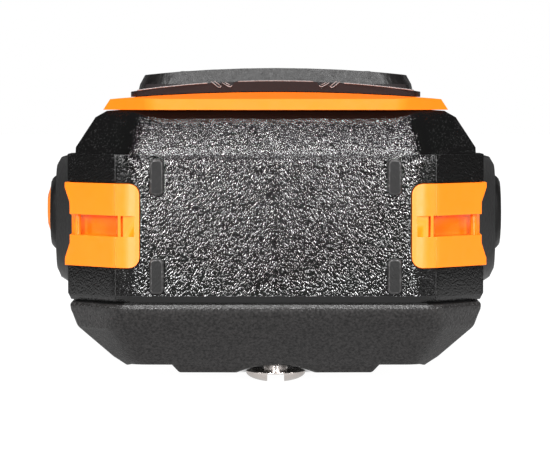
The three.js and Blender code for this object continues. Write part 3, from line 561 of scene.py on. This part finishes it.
def cut_away(bm, low, high):
    """Takes a box out of a closed bmesh and returns what is left as a new one."""
    body = bpy.data.meshes.new("body")
    bm.to_mesh(body)
    bm.free()
    cutter_bm = bmesh.new()
    bmesh.ops.create_cube(cutter_bm, size=1)
    middle, size = (low + high) / 2, high - low
    for vert in cutter_bm.verts:
        vert.co = middle + Vector(a * b for a, b in zip(vert.co, size))
    cutter_mesh = bpy.data.meshes.new("cutter")
    cutter_bm.to_mesh(cutter_mesh)
    cutter_bm.free()
    whole = bpy.data.objects.new("whole", body)
    cutter = bpy.data.objects.new("cutter", cutter_mesh)
    for thing in (whole, cutter):
        bpy.context.scene.collection.objects.link(thing)
    cut = whole.modifiers.new("cut", "BOOLEAN")
    cut.operation = "DIFFERENCE"
    cut.solver = "EXACT"
    cut.object = cutter
    left = bmesh.new()
    left.from_mesh(whole.evaluated_get(bpy.context.evaluated_depsgraph_get()).to_mesh())
    for thing in (whole, cutter):
        bpy.data.objects.remove(thing)
    return left


# The coin screw: the height of its domed head, the straight rim under the dome, and its radii.
HEAD_HEIGHT = 1.7 * MM
HEAD_RIM = 0.2 * MM
DOME_STEPS = 14
NECK_RADIUS = 1.82 * MM
NECK_LENGTH = 2.9 * MM
SHANK_RADIUS = 1.6 * MM
SHANK_POINT = 0.5 * MM
COIN_SLOT_HALF_WIDTH = 1.31 * MM
COIN_SLOT_DEPTH = 1.45 * MM


def make_coin_screw(materials):
    """A domed head with a slot, a neck and a shank, turned finely. Its head points down."""
    low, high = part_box("coin_screw")
    center = (low + high) / 2
    head = (high.x - low.x) / 2
    rim = low.z + HEAD_HEIGHT
    depth = rim - HEAD_RIM - low.z
    arcs = [math.pi / 2 * i / DOME_STEPS for i in range(DOME_STEPS + 1)]
    dome = [(head * math.sin(a), rim - HEAD_RIM - 1.02 * depth * math.cos(a)) for a in arcs]
    dome[0] = (0, dome[0][1])
    profile = [
        *dome,
        (head, rim - 0.05 * MM),
        (head - 0.06 * MM, rim),
        (NECK_RADIUS, rim + 0.08 * MM),
        (NECK_RADIUS, rim + NECK_LENGTH),
        (SHANK_RADIUS, rim + NECK_LENGTH),
        (SHANK_RADIUS, high.z - SHANK_POINT),
        (SHANK_RADIUS - SHANK_POINT, high.z),
        (0, high.z),
    ]
    slot_low = Vector((center.x - COIN_SLOT_HALF_WIDTH, low.y - MM, low.z - MM))
    slot_high = Vector((center.x + COIN_SLOT_HALF_WIDTH, high.y + MM, low.z + COIN_SLOT_DEPTH))
    turned = cut_away(revolve(profile, center), slot_low, slot_high)
    finish_piece("coin_screw_turned", turned, "coin_screw", [materials["nickel"]], width=0.08, segments=2)


# ---------------------------------------------------------------- mould lines, printing and the display
def add_detail(name, bm, body, material):
    """A piece of its own that rides on a body and stands for no CAD node."""
    mesh = bpy.data.meshes.new(name)
    bm.to_mesh(mesh)
    bm.free()
    mesh.materials.append(material)
    piece = bpy.data.objects.new(name, mesh)
    bpy.context.scene.collection.objects.link(piece)
    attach(piece, body)
    return piece


def tube(path, radius, aside, sides=6):
    """A thin round bead along a path that never runs in the direction aside."""
    bm = bmesh.new()
    rings = []
    for i, point in enumerate(path):
        way = (path[min(i + 1, len(path) - 1)] - path[max(i - 1, 0)]).normalized()
        across = way.cross(aside).normalized()
        other = way.cross(across)
        turns = [2 * math.pi * n / sides for n in range(sides)]
        spokes = [across * math.cos(t) + other * math.sin(t) for t in turns]
        rings.append([bm.verts.new(point + radius * spoke) for spoke in spokes])
    for low, high in zip(rings, rings[1:]):
        for n in range(sides):
            bm.faces.new([low[n], low[(n + 1) % sides], high[(n + 1) % sides], high[n]])
    bm.faces.new(rings[0][::-1])
    bm.faces.new(rings[-1])
    for face in bm.faces:
        face.smooth = True
    return bm


def surface_paths(pieces, x, z_from, z_to, step=0.2 * MM, jump=0.25 * MM):
    """The lines where an upright plane at x meets the rear of some pieces, as (piece, points) stretches."""
    depsgraph = bpy.context.evaluated_depsgraph_get()
    stretches = []
    for i in range(int((z_to - z_from) / step) + 1):
        z = z_from + i * step
        start = Vector((x, REAR_Y - 10 * MM, z))
        hits = []
        for piece in pieces:
            found, point, _, _ = piece.evaluated_get(depsgraph).ray_cast(start, Vector((0, 1, 0)))
            if found:
                hits.append((point.y, piece, point))
        if not hits:
            continue
        _, piece, point = min(hits, key=lambda hit: hit[0])
        if stretches and stretches[-1][0] is piece and (stretches[-1][1][-1] - point).length < jump + step:
            stretches[-1][1].append(point)
        else:
            stretches.append((piece, [point]))
    return [(piece, points) for piece, points in stretches if len(points) > 2]


# The mould seams' distance from the middle plane, how far they stop short of the housing's bottom and top,
# and the radius of their bead.
SEAM_ASIDE = 24.2
SEAM_BELOW = 0.6 * MM
SEAM_ABOVE = 6.7 * MM
SEAM_RADIUS = 0.075 * MM


def make_mould_lines(pieces, materials, worn_and_painted_highlight_edges):
    """The fine upright seams that the mould leaves on the corners of both bumpers.

    On black they are painted lighter, a painted highlight.
    """
    low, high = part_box("upper_housing")
    for side, name in ((1, "right"), (-1, "left")):
        lug = pieces["strap_lug_" + name]
        rear = [pieces["upper_housing"], lug]
        aside = MIDDLE_X + SEAM_ASIDE * side * MM
        paths = surface_paths(rear, aside, low.z + SEAM_BELOW, high.z - SEAM_ABOVE)
        for count, (piece, points) in enumerate(paths):
            bead = tube(points, SEAM_RADIUS, Vector((1, 0, 0)))
            slot = "orange_plastic" if piece is lug else "black_plastic"
            # On black the bead takes the lighter edge plastic, a painted highlight.
            material = materials[slot] if piece is lug else worn_and_painted_highlight_edges[slot]
            add_detail(f"mould_line_{name}_{count}", bead, "housing", material)


def slab(bm, outline, low, high):
    """Adds a flat plate to a bmesh: outline is in (x, y), and low and high are heights."""
    bottom = [bm.verts.new((x, y, low)) for x, y in outline]
    top = [bm.verts.new((x, y, high)) for x, y in outline]
    bm.faces.new(bottom[::-1])
    bm.faces.new(top)
    count = len(outline)
    for i in range(count):
        bm.faces.new([bottom[i], bottom[(i + 1) % count], top[(i + 1) % count], top[i]])


def bar(x, y, length, width, turn=0):
    """A straight stroke about its middle, in millimetres, turned by an angle in degrees."""
    c, s = math.cos(math.radians(turn)), math.sin(math.radians(turn))
    corners = [(-1, -1), (1, -1), (1, 1), (-1, 1)]
    half = [(a * length / 2, b * width / 2) for a, b in corners]
    return [(x + u * c - v * s, y + u * s + v * c) for u, v in half]


def arc(x, y, radius, width, start, end, steps=20):
    """A curved stroke between two angles in degrees."""
    turns = [math.radians(start + (end - start) * i / steps) for i in range(steps + 1)]
    outer, inner = [
        [(x + rim * math.cos(t), y + rim * math.sin(t)) for t in turns]
        for rim in (radius + width / 2, radius - width / 2)
    ]
    return outer + inner[::-1]


# The strokes of each key's sign, in millimetres from the key's middle.
STROKE = 0.42
KEY_MARKS = {
    "key_measure": [
        arc(0, 0, 3, STROKE, 0, 180),
        arc(0, 0, 3, STROKE, 180, 360),
        bar(0, 0, 2.2, STROKE),
        bar(0, 0.66, 0.9, STROKE, 90),
        bar(0, -0.66, 0.9, STROKE, 90),
    ],
    "key_area": [
        bar(0, 1.6, 3, STROKE),
        bar(0, -1.6, 3, STROKE),
        bar(-1.3, 0, 2.8, STROKE, 90),
        bar(1.3, 0, 2.8, STROKE, 90),
    ],
    "key_reference": [
        bar(0, -1.8, 3, STROKE),
        bar(0, 0.1, 3, STROKE, 90),
        bar(-0.75, 1.1, 1.7, STROKE, 50),
        bar(0.75, 1.1, 1.7, STROKE, -50),
    ],
    "key_plus": [bar(0, 0, 3, STROKE), bar(0, 0.87, 1.26, STROKE, 90), bar(0, -0.87, 1.26, STROKE, 90)],
    "key_menu": [bar(0, 1.1, 3.2, STROKE), bar(0, 0, 3.2, STROKE), bar(0, -1.1, 3.2, STROKE)],
    "key_minus": [bar(0, 0, 3, STROKE)],
    "key_memory": [
        bar(0, -1.2, 3.2, STROKE),
        bar(-1.4, -0.2, 1.6, STROKE, 90),
        bar(1.4, -0.2, 1.6, STROKE, 90),
        bar(0, 0.6, 1.8, STROKE, 90),
    ],
    "key_units": [bar(0, -0.9, 3.6, STROKE), *[bar(-1.5 + n, -0.1, 1.2, 0.3, 90) for n in range(4)]],
    "key_clear": [arc(0, 0, 1.5, STROKE, 120, 420), bar(0, 1.2, 1.7, STROKE, 90)],
}
PRINT_SUNK = 0.02 * MM
PRINT_PROUD = 0.03 * MM


# The double ribs in a notch of the bezel's rear flange: (x, z) points in millimetres from the middle plane
# and the flange's top edge.
NOTCH_RIBS = [
    [(-9.95, -0.1), (-8.85, -0.98), (-8.55, -1.0), (-8.35, -0.8)],
    [(-9.45, -0.05), (-8.5, -0.75)],
    [(-8.25, -0.3), (-7.25, -0.88), (-6.95, -0.92), (-6.7, -0.7)],
    [(-7.8, -0.25), (-7.0, -0.68)],
]
RIB_RADIUS = 0.075 * MM

# The radius of the crown of the flange's top edge, and where its lips start and end from the middle plane,
# in millimetres.
FLANGE_CROWN = 155
FLANGE_LIPS = [(-21.3, -10.5), (-5.8, 5.8), (10.5, 21.3)]
LIP_STEPS = 24
LIP_RADIUS = 0.09 * MM


def add_flange_bead(name, path, radius, worn_and_painted_highlight_edges):
    # Painted highlight: the bead's light grey stands in for the light that the edge catches.
    bead = tube(path, radius, Vector((0, 1, 0)))
    add_detail(name, bead, "housing", worn_and_painted_highlight_edges["bezel_rubbed"])


def make_flange_lips(worn_and_painted_highlight_edges):
    """The fine raised lip along the top of the bezel's rear flange, which stops at the notches.

    Its light grey is a painted highlight.
    """
    low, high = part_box("front_bezel")
    edge_z = high.z - FLANGE_DROP
    for count, (start, end) in enumerate(FLANGE_LIPS):
        steps = [start + (end - start) * i / LIP_STEPS for i in range(LIP_STEPS + 1)]
        drops = [x * x / (2 * FLANGE_CROWN) * MM for x in steps]
        path = [
            Vector((MIDDLE_X + x * MM, low.y + 0.03 * MM, edge_z - drop)) for x, drop in zip(steps, drops)
        ]
        add_flange_bead(f"flange_lip_{count}", path, LIP_RADIUS, worn_and_painted_highlight_edges)


def make_notch_ribs(worn_and_painted_highlight_edges):
    """The small ribs in the notches on both sides of the flange, in a light grey that is a painted highlight.
    """
    low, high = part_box("front_bezel")
    edge_z = high.z - FLANGE_DROP
    for side in (1, -1):
        for count, rib in enumerate(NOTCH_RIBS):
            path = [
                Vector((MIDDLE_X + side * x * MM, low.y + 0.02 * MM, edge_z + z * MM)) for x, z in rib
            ]
            name = f"notch_rib_{'left' if side > 0 else 'right'}_{count}"
            add_flange_bead(name, path, RIB_RADIUS, worn_and_painted_highlight_edges)


def make_key_marks(materials):
    """A generic sign on top of each key, printed a hair above the rubber."""
    for node, strokes in KEY_MARKS.items():
        low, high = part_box(node)
        middle = (low + high) / 2
        bm = bmesh.new()
        for stroke in strokes:
            outline = [(middle.x + u * MM, middle.y + v * MM) for u, v in stroke]
            slab(bm, outline, high.z - PRINT_SUNK, high.z + PRINT_PROUD)
        add_detail(node + "_mark", bm, BODY_OF[node], materials["print"])


# The strokes of a seven-segment figure: middle and direction, for a figure one unit wide and two tall.
SEGMENT_PLACES = {
    "a": (0.5, 2, 0),
    "b": (1, 1.5, 90),
    "c": (1, 0.5, 90),
    "d": (0.5, 0, 0),
    "e": (0, 0.5, 90),
    "f": (0, 1.5, 90),
    "g": (0.5, 1, 0),
}
FIGURES = {
    "0": "abcdef",
    "1": "bc",
    "2": "abged",
    "3": "abgcd",
    "4": "fgbc",
    "5": "afgcd",
    "6": "afgedc",
    "7": "abc",
    "8": "abcdefg",
}


def figure_strokes(text, x, y, size):
    """The strokes of a number, from its lower left corner. Each figure is size millimetres wide."""
    strokes = []
    for letter in text:
        if letter == ".":
            strokes.append(bar(x - 0.25 * size, y, 0.28 * size, 0.28 * size))
            x += 0.2 * size
            continue
        for segment in FIGURES[letter]:
            u, v, turn = SEGMENT_PLACES[segment]
            strokes.append(bar(x + u * size, y + v * size, 0.8 * size, 0.18 * size, turn))
        x += 1.5 * size
    return strokes


def make_display(materials):
    """Three readings and a battery sign, a hair above the display's surface."""
    low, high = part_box("display_panel")
    middle_x = (low.x + high.x) / MM / 2
    base = low.y / MM
    strokes = figure_strokes("1.204", middle_x - 3.5, base + 26, 2.2)
    strokes += figure_strokes("0.865", middle_x - 3.5, base + 18.5, 2.2)
    strokes += figure_strokes("3.750", middle_x - 10.5, base + 6, 3.6)
    strokes.append(bar(middle_x, base + 15.8, 24, 0.2))
    cell_x = middle_x + 8
    cell_y = base + 36.2
    strokes += [bar(cell_x, cell_y + rise, 4, 0.25) for rise in (-0.8, 0.8)]
    strokes += [bar(cell_x + aside, cell_y, 1.35, 0.25, 90) for aside in (-1.9, 1.9)]
    strokes += [bar(cell_x + aside, cell_y, 0.7, 0.9, 90) for aside in (-1, 0.2)]
    bm = bmesh.new()
    for stroke in strokes:
        outline = [(u * MM, v * MM) for u, v in stroke]
        slab(bm, outline, high.z - PRINT_SUNK, high.z + PRINT_PROUD)
    add_detail("display_figures", bm, "housing", materials["segments"])


def paint_cad_nodes(materials):
    """Gives each CAD node the material of its slot."""
    for node, thing in frame["nodes"].items():
        thing.data.materials.clear()
        thing.data.materials.append(materials[SLOT_OF[node]])


# ---------------------------------------------------------------- the scene
make_camera()
make_world()
make_floor()
for side in (-1, 1):
    softbox(f"key_{side}", 17 * side, 8, (0.14, 0.14), 6)
    softbox(f"bridge_{side}", 15 * side, 34, (0.12, 0.1), 1.5)
    softbox(f"brow_{side}", 20 * side, 50, (0.13, 0.13), 4.8)
    softbox(f"side_{side}", 62 * side, 14, (0.2, 0.3), 2.5)
    softbox(f"rim_{side}", 142 * side, 12, (0.25, 0.4), 0.3)
softbox("overhead", 180, 84, (0.5, 0.3), 3)

MATERIALS = make_materials()
paint_cad_nodes(MATERIALS)
WORN_AND_PAINTED_HIGHLIGHT_EDGES = make_worn_and_painted_highlight_edges()
ROUNDED = make_rounded_pieces(MATERIALS, WORN_AND_PAINTED_HIGHLIGHT_EDGES)
make_coin_screw(MATERIALS)
make_mould_lines(ROUNDED, MATERIALS, WORN_AND_PAINTED_HIGHLIGHT_EDGES)
make_flange_lips(WORN_AND_PAINTED_HIGHLIGHT_EDGES)
make_notch_ribs(WORN_AND_PAINTED_HIGHLIGHT_EDGES)
make_key_marks(MATERIALS)
make_display(MATERIALS)

bpy.context.scene.view_settings.view_transform = "Standard"
